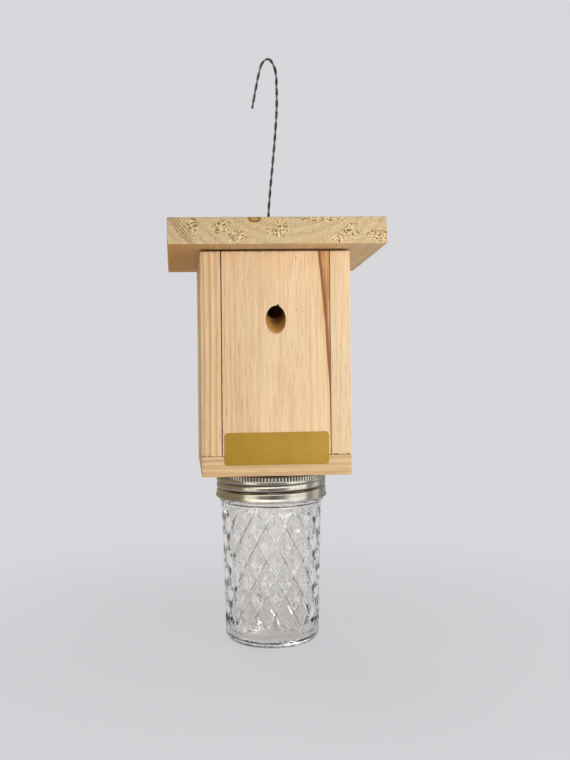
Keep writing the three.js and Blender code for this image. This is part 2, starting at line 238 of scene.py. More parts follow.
soft_lamp("key_lamp", (0.8, -1.1, 0.3), 0.9, 0.5, 8)
soft_lamp("low_lamp", (0.3, -0.5, 0.02), 0.35, 0.25, 1.2)
soft_lamp("fill_lamp", (-0.9, -0.9, 0.5), 0.9, 0.9, 1.8)
soft_lamp("back_lamp", (-0.5, 1.2, 0.8), 0.8, 0.8, 5)


# The screen
# A low round backdrop with bright and dark stretches, as a table-top photographer stands round bright metal.
# Only reflections show it. Angles go from the front towards the right, in degrees.
screen_radius = 0.5
screen_height = 0.45
screen_grey = paint(176, 173, 166)
screen_tan = paint(172, 155, 126)
screen_shadow = paint(96, 89, 78)
tan_stretch = (-95, 55, 40)
shadow_stretch = (14, 14, 20)
upper_glow = ((-14, 32, 26), 2.2)
upper_start, upper_full = 0.14, 0.22
side_glows = (((-46, 9, 9), 1.5), ((50, 15, 12), 1.3), ((100, 8, 8), 0.6))

screen_mesh = bmesh.new()
bmesh.ops.create_circle(screen_mesh, segments=72, radius=screen_radius)
rise = bmesh.ops.extrude_edge_only(screen_mesh, edges=screen_mesh.edges)
tops = [part for part in rise["geom"] if isinstance(part, bmesh.types.BMVert)]
bmesh.ops.translate(screen_mesh, vec=(0, 0, screen_height), verts=tops)
screen = make_object("screen", screen_mesh)
screen_finish, tree = bare_material("screen")
screen.data.materials.append(screen_finish)
for rays in ("camera", "diffuse", "transmission", "volume_scatter", "shadow"):
    setattr(screen, f"visible_{rays}", False)


def blend_colours(share, first, second):
    """The colour between two colours."""
    return result(tree_of(share), "ShaderNodeMix", {0: share, 6: first, 7: second}, 2, data_type="RGBA")


def parts_of(vector):
    """The three numbers of a vector."""
    split = add_node(tree_of(vector), "ShaderNodeSeparateXYZ", {0: vector})
    return [Result(socket) for socket in split.outputs]


sideways, backwards, height = parts_of(result(tree, "ShaderNodeTexCoord", output="Object"))
rightward = calculate("ARCTAN2", sideways, backwards * -1)


def stretch_of_screen(middle, reach, soft):
    """1 for a stretch of the screen about an angle, fading to 0 over its soft edge."""
    off = abs(rightward - math.radians(middle))
    return off.spread(math.radians(reach), math.radians(reach + soft), 1, 0, smooth=True)


screen_colour = blend_colours(stretch_of_screen(*tan_stretch), screen_grey, screen_tan)
screen_colour = blend_colours(stretch_of_screen(*shadow_stretch), screen_colour, screen_shadow)
upper = height.spread(upper_start, upper_full, smooth=True)
bright = stretch_of_screen(*upper_glow[0]) * upper * upper_glow[1]
for stretch, strength in side_glows:
    bright = any_of(bright, stretch_of_screen(*stretch) * strength)
screen_light = result(tree, "ShaderNodeEmission", {"Color": screen_colour, "Strength": 1})
bright_light = result(tree, "ShaderNodeEmission", {"Color": white, "Strength": bright})
both_lights = result(tree, "ShaderNodeAddShader", {0: screen_light, 1: bright_light})
add_node(tree, "ShaderNodeOutputMaterial", {"Surface": both_lights})


# The front board
# A planed pine board set between the sides, its grain upright, with one slanting entry bored through it and
# a brown resin streak along its right edge. Its sawn edges are eased a little by hand.
entry_bore = 0.0127
entry_rise = math.radians(45)
entry_drop = 0.0438
roof_slope = math.radians(5.8)
board_easing = 0.0004
board_waver = 0.0001
waver_scale = 55
long_edge = 0.02
front_seam = 0.00005
front_lean = 0.0004
roof_gap = 0.0005
mm_per_m = 1000
waver_seed = 7
noise.seed_set(waver_seed)
box_low = Vector(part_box("bottom_board")[0])
box_high = Vector((*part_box("bottom_board")[1][:2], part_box("front_board")[1][2]))
entry_height = box_high.z - entry_drop


def move(shape, point, turn=None):
    """Turns a shape about the origin and moves it."""
    if turn:
        bmesh.ops.rotate(shape, matrix=turn, verts=shape.verts)
    bmesh.ops.translate(shape, vec=point, verts=shape.verts)


def round_off(shape, edges, radius, segments):
    """Rounds some edges of a shape."""
    bmesh.ops.bevel(
        shape, geom=edges, offset=radius, segments=segments, profile=0.5, affect="EDGES", material=-1,
    )


def block(low, high):
    """A block between two corners."""
    made = bmesh.new()
    low, high = Vector(low), Vector(high)
    bmesh.ops.create_cube(made, size=1)
    bmesh.ops.scale(made, vec=high - low, verts=made.verts)
    move(made, (low + high) / 2)
    return made


def plank(low, high):
    """A sawn board between two corners, less what its faces may waver."""
    waver = Vector((board_waver, board_waver, board_waver))
    return block(Vector(low) + waver, Vector(high) - waver)


def follow_slope(board):
    """Cuts a wall board's top to the roof's slope, just short of it."""
    for vert in board.verts:
        if vert.co.z > entry_height:
            vert.co.z = box_high.z - (vert.co.y - box_low.y) * math.tan(roof_slope) - board_waver - roof_gap


def ease(board, along, easing=board_easing, cuts=36):
    """Rounds a board's edges and lets its faces waver a little along the grain's axis, as sawn wood does."""
    round_off(board, list(board.edges), easing, 2)
    long_edges = [
        edge for edge in board.edges
        if edge.calc_length() > long_edge
        and abs((edge.verts[1].co - edge.verts[0].co).normalized()[along]) > 0.9
    ]
    bmesh.ops.subdivide_edges(board, edges=long_edges, cuts=cuts, use_grid_fill=True)
    for vert in board.verts:
        sideways = noise.noise_vector(vert.co * waver_scale)
        sideways[along] = 0
        vert.co += sideways * board_waver
    bmesh.ops.recalc_face_normals(board, faces=board.faces)


def drill(diameter, length, sides=64):
    """A closed cylinder about Z, for boring."""
    cutter = bmesh.new()
    bmesh.ops.create_cone(
        cutter, cap_ends=True, segments=sides, radius1=diameter / 2, radius2=diameter / 2, depth=length,
    )
    return cutter


def entry_drill(reach, turn):
    """The bore of an entry, which rises inwards from an outer face at a reach from the trap's axis."""
    cutter = drill(entry_bore, 2 * reach)
    move(cutter, (0, -reach, entry_height), Matrix.Rotation(entry_rise - math.pi / 2, 3, "X"))
    bmesh.ops.rotate(cutter, matrix=Matrix.Rotation(turn, 3, "Z"), verts=cutter.verts)
    return cutter


def chip(place, width, depth):
    """A small splinter torn from an edge of the front, as a pointed cutter."""
    cutter = bmesh.new()
    bmesh.ops.create_cone(
        cutter, cap_ends=True, segments=5, radius1=width / 2, radius2=width / 8, depth=2 * depth,
    )
    move(cutter, place, Matrix.Rotation(-math.pi / 2, 3, "X"))
    return cutter


def bore(piece, cutters):
    """Cuts closed bmeshes out of a piece, one after another."""
    for mesh_in_progress in cutters:
        tool = make_object("tool", mesh_in_progress)
        boolean = piece.modifiers.new("bore", "BOOLEAN")
        boolean.operation = "DIFFERENCE"
        boolean.solver = "EXACT"
        boolean.object = tool
        graph = bpy.context.evaluated_depsgraph_get()
        cut_data = bpy.data.meshes.new_from_object(piece.evaluated_get(graph))
        piece.modifiers.clear()
        piece.data = cut_data
        bpy.data.objects.remove(tool)


def finish_piece(piece, body, material, slot, *nodes, sharp=35):
    """Shades a piece smooth up to an angle, gives it its material and body, and hides the CAD nodes it takes
    the place of. slot is not used.
    """
    piece.data.materials.clear()
    piece.data.materials.append(material)
    for polygon in piece.data.polygons:
        polygon.use_smooth = True
        polygon.material_index = 0
    piece.data.set_sharp_from_angle(angle=math.radians(sharp))
    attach(piece, body)
    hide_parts(*nodes)


def start_material(name):
    """A material with a Principled shader: the material, a point's place on the piece, and the shader."""
    material, tree = bare_material(name)
    shader = add_node(tree, "ShaderNodeBsdfPrincipled")
    add_node(tree, "ShaderNodeOutputMaterial", {"Surface": Result(shader.outputs[0])})
    return material, result(tree, "ShaderNodeTexCoord", output="Object"), shader


def dress(shader, colour, roughness, relief, strength, distance, steady=None):
    """Gives a shader its colour, roughness and small relief, and the inputs that are the same all over."""
    tree = tree_of(colour)
    bump = result(tree, "ShaderNodeBump", {"Height": relief, "Strength": strength, "Distance": distance})
    for name, value in (("Base Color", colour), ("Roughness", roughness), ("Normal", bump)):
        tree.links.new(value.socket, shader.inputs[name])
    for name, value in (steady or {}).items():
        shader.inputs[name].default_value = value


def cloud(place, scale, detail, roughness=0.5):
    """Noise about a place, from 0 to 1."""
    return result(
        tree_of(place), "ShaderNodeTexNoise",
        {"Vector": place, "Scale": scale, "Detail": detail, "Roughness": roughness},
    )


def between(share, first, second):
    """The number between two numbers."""
    return result(tree_of(share), "ShaderNodeMix", {0: share, 2: first, 3: second})


def shaded(colour, factor):
    """A colour made darker or lighter."""
    return result(
        tree_of(colour), "ShaderNodeVectorMath", {0: colour, "Scale": factor}, operation="SCALE",
    )


def slant(first, second):
    """How far off a point is that lies two distances away at right angles."""
    return calculate("SQRT", first * first + second * second)


class Pine:
    """Pine as solid wood: growth rings about a heart line, pale early wood and dark late wood, fibres and
    resin ducts along the grain, and porous end grain. along is the grain's axis, heart the heart line's place
    on the other two axes and ring_gap the growth of a year, in millimetres, figure how strong the rings show,
    wander how far the rings stray from straight, and tilt how far the board is turned about X."""

    def __init__(self, name, along, heart, ring_gap, pale, dark, figure, wander, seed, tilt=0.0):
        self.material, place, self.shader = start_material(name)
        tree = tree_of(place)
        self.seed = seed
        in_mm = result(
            tree, "ShaderNodeMapping", {"Vector": place, "Rotation": (tilt, 0, 0), "Scale": (mm_per_m,) * 3},
        )
        parts = parts_of(in_mm)
        self.across, self.deep = [parts[axis] for axis in range(3) if axis != along]
        self.length = parts[along]

        aside = self.across + (self.noise(0.016, 0.007, 2.0) * wander - (heart[0] + wander / 2))
        below = self.deep + (self.noise(0.027, 0.009, 2.0, 7.7) * wander - (heart[1] + wander / 2))
        self.radius = self.noise(0.4, 0.02, 3.0, 1.3) * 0.7 + slant(aside, below)
        rings = self.radius / ring_gap
        in_ring = calculate("FRACT", rings)
        year = result(
            tree, "ShaderNodeTexWhiteNoise", {"W": calculate("FLOOR", rings)}, noise_dimensions="1D",
        )
        swell = in_ring.spread(0.3, 0.88, smooth=True)
        self.late = swell * in_ring.spread(0.93, 1, 1, 0) * year.spread(0, 1, 0.35, 1)

        grain_axis = [0, 0, 0]
        grain_axis[along] = 1
        self.normal = result(tree, "ShaderNodeTexCoord", output="Normal")
        facing = result(
            tree, "ShaderNodeVectorMath", {0: self.normal, 1: grain_axis}, "Value", operation="DOT_PRODUCT",
        )
        self.end = abs(facing).spread(0.5, 0.8)
        off_end = 1 - self.end

        fibres = self.noise(2.4, 0.05, 4.0, 11.0, 0.65)
        streaks = self.noise(0.8, 0.012, 3.0, 23.0, 0.62).spread(0.48, 0.74, 0, 0.42)
        tone = self.noise(0.05, 0.012, 2.0, 31.0)
        ducts = self.noise(2.2, 0.07, 1.0, 41.0).spread(0.70, 0.76, 0, 0.5)
        dashes = self.noise(1.4, 0.06, 2.0, 45.0, 0.6).spread(0.54, 0.70, 0, 0.36)
        blush = self.noise(0.05, 0.012, 1.0, 61.0).spread(0.45, 0.8, 0, 0.4)
        self.pores = self.noise(1.6, 1.6, 4.0, 51.0, 0.7)

        self.colour = blend_colours(blush, paint(*pale), paint(226, 176, 124))
        self.stain(self.late * figure, dark)
        self.stain(streaks * off_end, dark)
        self.stain(dashes * off_end, (184, 126, 58))
        self.stain(ducts * off_end, (142, 92, 48))
        shade = fibres.spread(0.3, 0.7, 0.95, 1.03) * tone.spread(0.3, 0.7, 0.95, 1.04)
        end_shade = self.pores.spread(0.3, 0.7, 0.80, 1.06)
        self.colour = shaded(self.colour, between(self.end, shade, end_shade))
        self.relief = between(self.end, self.late * 0.5 + fibres, self.late * 0.6 + self.pores)

    def noise(self, cross_scale, long_scale, detail, offset=0.0, rough=0.5):
        """Noise drawn out along the grain, from 0 to 1. The scales are for each millimetre."""
        spot = result(tree_of(self.length), "ShaderNodeCombineXYZ", {
            0: self.across * cross_scale,
            1: self.deep * cross_scale,
            2: self.length * long_scale + (self.seed + offset),
        })
        return cloud(spot, 1.0, detail, rough)

    def oval(self, first, second, middle, half_size, soft=0.5):
        """1 within an oval in two of the board's directions, in millimetres, fading to 0 at its rim."""
        off = slant((first - middle[0]) / half_size[0], (second - middle[1]) / half_size[1])
        return off.spread(1 - soft, 1, 1, 0, smooth=True)

    def stain(self, share, colour):
        """Colours a share of the board."""
        self.colour = blend_colours(share, self.colour, paint(*colour))

    def paint_entry_shade(self, aside, depth):
        """Paints shade on the wall of an entry, darker deeper in, with painted light on its left side and a
        painted highlight round its mouth, from its place aside and its depth.
        """
        risen = self.length - mm_per_m * entry_height - depth
        off = slant(risen * math.cos(entry_rise), aside) - mm_per_m * entry_bore / 2
        drilled = off.spread(0.1, 0.25, 1, 0) * depth.spread(0.25, 0.6)
        lit_side = self.noise(0.35, 0.35, 3.0, 99.0, 0.6) * 6 + (aside - 3)
        # Painted shade that deepens into the bore, then painted light on the left side and a painted
        # highlight at the mouth.
        entry_shade_colour = blend_colours(depth.spread(0.8, 8), paint(206, 150, 68), paint(104, 62, 18))
        entry_shade_colour = blend_colours(lit_side.spread(-5, 1, 0.5, 0), entry_shade_colour, paint(222, 168, 84))
        entry_shade_colour = blend_colours(depth.spread(0.3, 1.2, 0.8, 0), entry_shade_colour, paint(250, 226, 184))
        entry_shade_colour = shaded(entry_shade_colour, self.pores.spread(0.3, 0.7, 0.8, 1.15))
        self.colour = blend_colours(drilled, self.colour, entry_shade_colour)

    def shade_top_rim(self):
        """Paints shade along the rim of a wall board's upper end, in the gap under the roof, where it is
        highest, at the front.
        """
        top = mm_per_m * (box_high.z - roof_gap)
        ragged = self.noise(0.5, 0.5, 2.0, 97.0) * 1.2 + self.length
        # Painted shade of the gap under the roof.
        self.stain(ragged.spread(top - 0.4, top, 0, 0.75), (92, 56, 24))

    def close(self):
        """Joins the colour, the relief and the sheen to the shader, and gives the material back."""
        sheen = self.late.spread(0, 1, 0.72, 0.56)
        dress(self.shader, self.colour, sheen, self.relief, 0.35, 0.0002, {"Specular IOR Level": 0.3})
        return self.material


front_low, front_high = (Vector(corner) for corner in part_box("front_board"))
front_low.x += front_seam
front_high.x -= front_seam
front_board = plank(front_low, front_high)
follow_slope(front_board)
ease(front_board, 2)
for vert in front_board.verts:
    if vert.co.x < 0:
        vert.co.x += front_lean * (vert.co.z - front_low.z) / (front_high.z - front_low.z)
front_board = make_object("front_board_pine", front_board)
entry_top = entry_height + entry_bore / 2 / math.cos(entry_rise)
entry_chip = chip((0.0014, front_low.y, entry_top), 0.0034, 0.0028)
bore(front_board, [entry_drill(-box_low.y, 0), entry_chip])

front_pine = Pine(
    "front_pine", 2, heart=(6, -20), ring_gap=2.3, pale=(241, 209, 166), dark=(206, 160, 106), figure=0.3,
    wander=5, seed=4.0,
)
resin_edge = (33.7, -7.4)
resin_specks = (216.5, 248.6)
climb = front_pine.length.spread(140, 254)
streak_edge = climb ** 1.6 * resin_edge[1] + resin_edge[0]
in_streak = front_pine.noise(0.5, 0.03, 2.0, 81.0) * 1.4 + (front_pine.across - streak_edge)
streak = in_streak.spread(0.5, 1.1, smooth=True)
resin = front_pine.noise(1.1, 0.035, 3.0, 91.0, 0.6).spread(0.46, 0.56, 0, 0.75)
rim = abs(in_streak - 1.7).spread(0.4, 1.7, 0.95, 0)
front_pine.stain(in_streak.spread(-2.2, 0.9, 0, 0.4, smooth=True), (222, 168, 110))
front_pine.stain(streak * 0.9, (204, 156, 98))
front_pine.stain(resin * streak, (156, 102, 50))
front_pine.stain(rim * streak, (136, 84, 38))
for height in resin_specks:
    speck = front_pine.oval(front_pine.across, front_pine.length, (12.8, height), (0.5, 0.9))
    front_pine.stain(speck * 0.7, (150, 96, 44))
# Painted shade, light and highlight on the wall of the front entry.
front_pine.paint_entry_shade(front_pine.across, front_pine.deep - mm_per_m * box_low.y)
# Painted shade under the roof along the top rim.
front_pine.shade_top_rim()
# Painted shade along the seam at the left edge, where the front board meets the left side board.
left_seam_shade = front_pine.noise(0.9, 0.35, 3.0, 85.0, 0.7) * -1.6 + (front_pine.across - mm_per_m * front_low.x)
front_pine.stain(left_seam_shade.spread(-0.5, -0.2, 0.85, 0), (84, 52, 22))
right_rim = front_pine.noise(0.9, 0.1, 3.0, 87.0, 0.7) * -1.4 + (mm_per_m * front_high.x - front_pine.across)
front_pine.stain(right_rim.spread(-0.4, -0.1, 0.7, 0), (150, 98, 44))
finish_piece(front_board, "box", front_pine.close(), "pine", "front_board")


# The side boards
# Two planed boards whose front edges show beside the front board. Each has its own entry. The left one is cut
# from striped wood, the right one is almost plain, and both are chipped a little where they meet the bottom.
side_woods = {
    "left": Pine(
        "left_pine", 2, heart=(-118, 10), ring_gap=3.1, pale=(235, 201, 155), dark=(190, 140, 80),
        figure=0.8, wander=5, seed=19.0,
    ),
    "right": Pine(
        "right_pine", 2, heart=(110, -30), ring_gap=3.6, pale=(240, 211, 169), dark=(214, 176, 128),
        figure=0.25, wander=6, seed=27.0,
    ),
}
chip_width = 0.0018
chip_depth = 0.003
side_chips = {"left": (-0.0453, -0.0418), "right": (0.0362, 0.0376, 0.0445)}
for side, turn in (("left", -math.pi / 2), ("right", math.pi / 2)):
    node = f"{side}_side_board"
    side_low, side_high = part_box(node)
    side_board = plank(side_low, side_high)
    follow_slope(side_board)
    ease(side_board, 2)
    side_board = make_object(f"{side}_board_pine", side_board)
    chips = [chip((across, box_low.y, side_low[2]), chip_width, chip_depth) for across in side_chips[side]]
    bore(side_board, [entry_drill(box_high.x, turn), *chips])
    side_pine = side_woods[side]
    # Painted shade, light and highlight on the wall of this side's entry.
    side_pine.paint_entry_shade(side_pine.deep, mm_per_m * box_high.x - abs(side_pine.across))
    chip_height = mm_per_m * side_low[2]
    # Painted shade in the chips torn at the foot of the front edge.
    chip_shade_spots = [
        side_pine.oval(side_pine.across, side_pine.length, (mm_per_m * across, chip_height), (0.9, 1.1))
        for across in side_chips[side]
    ]
    side_pine.stain(any_of(*chip_shade_spots) * 0.9, (70, 42, 20))
    # Painted shade under the roof along the top rim.
    side_pine.shade_top_rim()
    finish_piece(side_board, "box", side_pine.close(), "pine", node)


# The back board
# A plain planed board between the sides, hidden against the wall when the trap hangs there.
back_board = plank(*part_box("back_board"))
follow_slope(back_board)
ease(back_board, 2)
back_board = make_object("back_board_pine", back_board)
back_pine = Pine(
    "back_pine", 2, heart=(-14, 72), ring_gap=3.0, pale=(235, 203, 158), dark=(200, 152, 96), figure=0.5,
    wander=8, seed=33.0,
)
finish_piece(back_board, "box", back_pine.close(), "pine", "back_board")


# The bottom board
# Its grain runs across, so the front shows long lines and the sides show end grain. The throat is bored
# through its middle, down to the jar.
throat_bore = 0.0222
throat_drill_length = 0.03
bottom_low, bottom_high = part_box("bottom_board")
bottom_board = plank(bottom_low, bottom_high)
ease(bottom_board, 0)
bottom_board = make_object("bottom_board_pine", bottom_board)
throat = drill(throat_bore, throat_drill_length)
move(throat, (0, 0, (bottom_low[2] + bottom_high[2]) / 2))
bore(bottom_board, [throat])
bottom_pine = Pine(
    "bottom_pine", 0, heart=(10, 40), ring_gap=3.4, pale=(224, 190, 143), dark=(180, 140, 90), figure=0.8,
    wander=6, seed=45.0,
)
finish_piece(bottom_board, "box", bottom_pine.close(), "pine", "bottom_board")


# The roof
# One thick sawn board, falling to the back, nailed down on the sides. Its grain runs front to back, so the
# front is rough end grain whose rings curve about a heart well above it, torn in patches by the saw.
roof_low, roof_high = (Vector(corner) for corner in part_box("roof_board"))
roof_size = Vector((0.1334, 0.1334, 0.0168))
roof_easing = 0.0007
wire_bore = 0.005
wire_drill_length = 0.06
roof_middle = Vector((0, 0, (roof_low.z + roof_high.z) / 2))
roof_turn = Matrix.Rotation(-roof_slope, 3, "X")
roof_board = plank(-roof_size / 2, roof_size / 2)
ease(roof_board, 1, easing=roof_easing)
move(roof_board, roof_middle, roof_turn)
roof_board = make_object("roof_board_pine", roof_board)
wire_hole = drill(wire_bore, wire_drill_length, sides=32)
move(wire_hole, roof_middle)
bore(roof_board, [wire_hole])

heart_rise = 56
face_height = mm_per_m * roof_middle.z * math.cos(roof_slope)
roof_pine = Pine(
    "roof_pine", 1, heart=(7, face_height + heart_rise), ring_gap=5.5, pale=(222, 195, 148),
    dark=(178, 142, 90), figure=0.4, wander=3, seed=52.0, tilt=roof_slope,
)
torn_patches = (
    ((-51, 3), (5, 6)), ((-34, 2), (7, 5)), ((-25, -3.5), (8, 5)), ((1, 0), (9, 6)), ((27, 7), (19, 2.2)),
    ((38, -5), (7, 3)), ((45, 0.5), (7, 7)), ((61, -3.5), (8, 5.5)),
)


def roof_oval(middle, half_size, soft):
    """An oval on the end grain of the roof, about the middle of its front."""
    centre = (middle[0], face_height + middle[1])
    return roof_pine.oval(roof_pine.across, roof_pine.deep, centre, half_size, soft) * roof_pine.end


knot_middle = (-14, 7)
saw_line_gap = 1.6
saw_line_radius = 86
torn = any_of(*[roof_oval(middle, half_size, 0.8) for middle, half_size in torn_patches])
torn = torn + roof_pine.noise(0.3, 0.3, 2.0, 66.0).spread(0.35, 0.65, -0.42, 0.32)
torn = torn.spread(0.2, 0.45) * roof_pine.end
crumbs = roof_pine.noise(0.92, 0.92, 4.0, 71.0, 0.8)
specks = roof_pine.noise(1.1, 1.1, 2.0, 95.0, 0.6).spread(0.58, 0.68, 0, 0.7)
pits = any_of(torn * crumbs.spread(0.45, 0.48, 1, 0), specks * roof_pine.end)
flakes = torn * crumbs.spread(0.51, 0.55, 0, 0.95)
saw_lines = calculate("FRACT", roof_pine.radius / saw_line_gap).spread(0.3, 0.5, 0.75, 0)
saw_lines = saw_lines * abs(roof_pine.radius - saw_line_radius).spread(3, 4, 1, 0)
saw_lines = saw_lines * roof_pine.across.spread(-53, -50, 1, 0) * roof_pine.end
# Painted shade on the roof's underside, deeper and more orange towards the left.
shaded_underside = parts_of(roof_pine.normal)[2].spread(-0.9, -0.7, 1, 0)
roof_pine.stain(shaded_underside * roof_pine.across.spread(-30, 50, 0.45, 0), (196, 146, 78))
roof_pine.stain(shaded_underside * roof_pine.across.spread(-62, -30, 0.7, 0), (214, 150, 54))
roof_pine.stain(saw_lines, (140, 104, 58))
roof_pine.stain(flakes, (252, 226, 166))
roof_pine.stain(pits, (100, 60, 14))
knot = roof_oval(knot_middle, (4.6, 2.6), 0.3)
knot_rim = (knot - roof_oval(knot_middle, (3.2, 1.6), 0.5)) * 0.8
roof_pine.stain(knot, (186, 138, 72))
roof_pine.stain(knot_rim, (112, 72, 30))
roof_pine.relief = torn * crumbs * 2 + roof_pine.relief
finish_piece(roof_board, "box", roof_pine.close(), "roof_pine", "roof_board")


# The nails
# Bright wire nails with flat heads, driven flush: four down through the roof, four through each side and
# four up through the bottom.
nail_shank = 0.0018
nail_head = 0.0034
nail_head_thickness = 0.0009
nail_point = 0.0024
long_nail = 0.038
short_nail = 0.030
nail_inset = 0.0167
side_middle = box_high.x - (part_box("right_side_board")[1][0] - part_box("right_side_board")[0][0]) / 2


def turned(outline, steps, closed=False):
    """A shape turned about Z from an outline of radius and height, with its seam and poles closed."""
    shape = bmesh.new()
    verts = [shape.verts.new((radius, 0, height)) for radius, height in outline]
    edges = [shape.edges.new(pair) for pair in zip(verts, verts[1:])]
    if closed:
        edges.append(shape.edges.new((verts[-1], verts[0])))
    bmesh.ops.spin(
        shape, geom=verts + edges, axis=(0, 0, 1), cent=(0, 0, 0), angle=2 * math.pi, steps=steps,
        use_merge=True,
    )
    bmesh.ops.remove_doubles(shape, verts=shape.verts, dist=0.000001)
    bmesh.ops.recalc_face_normals(shape, faces=shape.faces)
    return shape


def arc(centre, radius, start, end, steps):
    """Points on an arc about a centre, for an outline. The angles are in degrees."""
    angles = [math.radians(start + (end - start) * step / steps) for step in range(steps + 1)]
    return [(centre[0] + radius * math.cos(angle), centre[1] + radius * math.sin(angle)) for angle in angles]


def nail(length):
    """A nail pointing down, with the middle of its head's top at the origin."""
    rim = nail_head_thickness / 4
    return turned([
        (0, -length),
        (nail_shank / 2, nail_point - length),
        (nail_shank / 2, -nail_head_thickness - rim),
        (nail_head / 2 - rim, -nail_head_thickness),
        *arc((nail_head / 2 - rim, -rim), rim, 0, 90, 3),
        (nail_head / 4, -rim / 3),
        (0, -rim / 3),
    ], 24)


def drive(name, shape, point, direction):
    """Turns a fastener to point along a direction, and puts its head at a point."""
    move(shape, point, Vector((0, 0, -1)).rotation_difference(direction).to_matrix())
    return make_object(name, shape)


metal = {"Metallic": 1.0}


def mottled(name, scale, detail, reach, tones, roughness, relief, steady=None):
    """A material of two tones that shade into each other, with a range of roughness and a small relief."""
    material, place, shader = start_material(name)
    mottle = cloud(place, scale, detail)
    colour = blend_colours(mottle.spread(*reach), *(paint(*tone) for tone in tones))
    dress(shader, colour, mottle.spread(0.3, 0.7, *roughness), mottle, *relief, steady)
    return material


nail_steel = mottled(
    "nail_steel", 1800, 3, reach=(0.4, 0.65), tones=((168, 167, 163), (120, 116, 110)),
    roughness=(0.3, 0.55), relief=(0.3, 0.00005), steady=metal,
)
nail_row = box_high.y - nail_inset
nail_places = []
for across in (-side_middle, side_middle):
    for along in (-nail_row, nail_row):
        roof_point = roof_turn @ Vector((across, along, roof_size.z / 2)) + roof_middle
        nail_places.append(("roof_nail", long_nail, roof_point, roof_turn @ Vector((0, 0, -1))))
        nail_places.append(("bottom_nail", long_nail, Vector((across, along, box_low.z)), Vector((0, 0, 1))))
for side, across in (("left", -1), ("right", 1)):
    for number in range(1, 5):
        nail_low, nail_high = (Vector(corner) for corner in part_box(f"{side}_nail_{number}"))
        point = (nail_low + nail_high) / 2
        point.x = across * box_high.x
        nail_places.append((f"{side}_nail", short_nail, point, Vector((-across, 0, 0))))
nail_counts = {}
for kind, length, point, direction in nail_places:
    nail_counts[kind] = nail_counts.get(kind, 0) + 1
    node = f"{kind}_{nail_counts[kind]}"
    driven = drive(f"{node}_steel", nail(length), point, direction)
    finish_piece(driven, "box", nail_steel, "nail_steel", node)


# The label plate
# A thin satin gold plate with rounded corners, left bare, stuck over the seam of the front and bottom boards.
label_corner = 0.0022
label_easing = 0.00012
label_low, label_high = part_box("label_plate")
label = block(label_low, label_high)
corner_edges = [edge for edge in label.edges if abs(edge.verts[0].co.y - edge.verts[1].co.y) > 0.0001]
round_off(label, corner_edges, label_corner, 8)
front_rim = [edge for edge in label.edges if all(vert.co.y < label_low[1] + 0.0001 for vert in edge.verts)]
round_off(label, front_rim, label_easing, 2)
label = make_object("label_sheet", label)


def stretched(place, scale):
    """A place scaled by its own factor along each axis, for a pattern that is drawn out."""
    return result(tree_of(place), "ShaderNodeMapping", {"Vector": place, "Scale": scale})


label_gold, place, shader = start_material("label_gold")
brushing = cloud(stretched(place, (60, 2500, 2500)), 1, 4, 0.6)
gold = blend_colours(cloud(place, 160, 3).spread(0.3, 0.7), paint(170, 133, 40), paint(162, 125, 34))
gold = blend_colours(brushing.spread(0.3, 0.7, 0, 0.15), gold, paint(184, 150, 64))
dress(
    shader, gold, brushing.spread(0.3, 0.7, 0.48, 0.6), brushing, 0.15, 0.00003,
    {"Metallic": 0.12, "Specular IOR Level": 0.2},
)
finish_piece(label, "box", label_gold, "gold_label", "label_plate")


# The jar's lid, its seal and its screws
# A pressed tinplate disc with a hole, screwed up under the bottom board by three pan-head screws. Its lower
# flange leaves room above for the band's lip, and a ring of sealing compound lies between it and the jar.
jar_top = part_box("glass_jar")[1][2]
box_base = box_low.z
lid_thickness = 0.0006
lid_radius = 0.03505
lid_panel_radius = 0.02905
lid_step_run = 0.0011
lip_space = 0.0011
seal_width = 0.0032
screw_head = 0.006
screw_head_thickness = 0.0019
screw_shank = 0.003
screw_length = 0.011
screw_point = 0.0026
recess_width = 0.0007
recess_reach = 0.0034
lid_step = lid_panel_radius + lid_step_run
lid_base = box_base - lid_thickness
lid = turned([
    (throat_bore / 2, box_base),
    (lid_panel_radius, box_base),
    (lid_step, box_base - lip_space),
    (lid_radius, box_base - lip_space),
    (lid_radius, lid_base - lip_space),
    (lid_step - lid_thickness / 2, lid_base - lip_space),
    (lid_panel_radius - lid_thickness / 2, lid_base),
    (throat_bore / 2, lid_base),
], 128, closed=True)
lid = make_object("lid_disc", lid)

tinplate = mottled(
    "tinplate", 220, 4, reach=(0.35, 0.65), tones=((206, 205, 200), (188, 186, 180)),
    roughness=(0.28, 0.42), relief=(0.1, 0.00005), steady=metal,
)
finish_piece(lid, "box", tinplate, "tinplate", "jar_lid")


def ring(inner, outer, low, high, rounding, arc_steps, steps):
    """A ring with rounded edges, between two radii and two heights."""
    return turned([
        *arc((outer - rounding, low + rounding), rounding, -90, 0, arc_steps),
        *arc((outer - rounding, high - rounding), rounding, 0, 90, arc_steps),
        *arc((inner + rounding, high - rounding), rounding, 90, 180, arc_steps),
        *arc((inner + rounding, low + rounding), rounding, 180, 270, arc_steps),
    ], steps, closed=True)


seal_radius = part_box("lid_gasket")[1][0]
seal_low, seal_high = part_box("lid_gasket")[0][2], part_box("lid_gasket")[1][2]
seal_round = (seal_high - seal_low) / 3
seal = ring(seal_radius - seal_width, seal_radius, seal_low, seal_high, seal_round, 4, 128)
seal = make_object("lid_seal", seal)
sealant = mottled(
    "sealant", 400, 3, reach=(0.3, 0.7), tones=((186, 92, 54), (160, 72, 42)), roughness=(0.5, 0.7),
    relief=(0.3, 0.0001),
)
finish_piece(seal, "box", sealant, "sealant", "lid_gasket")

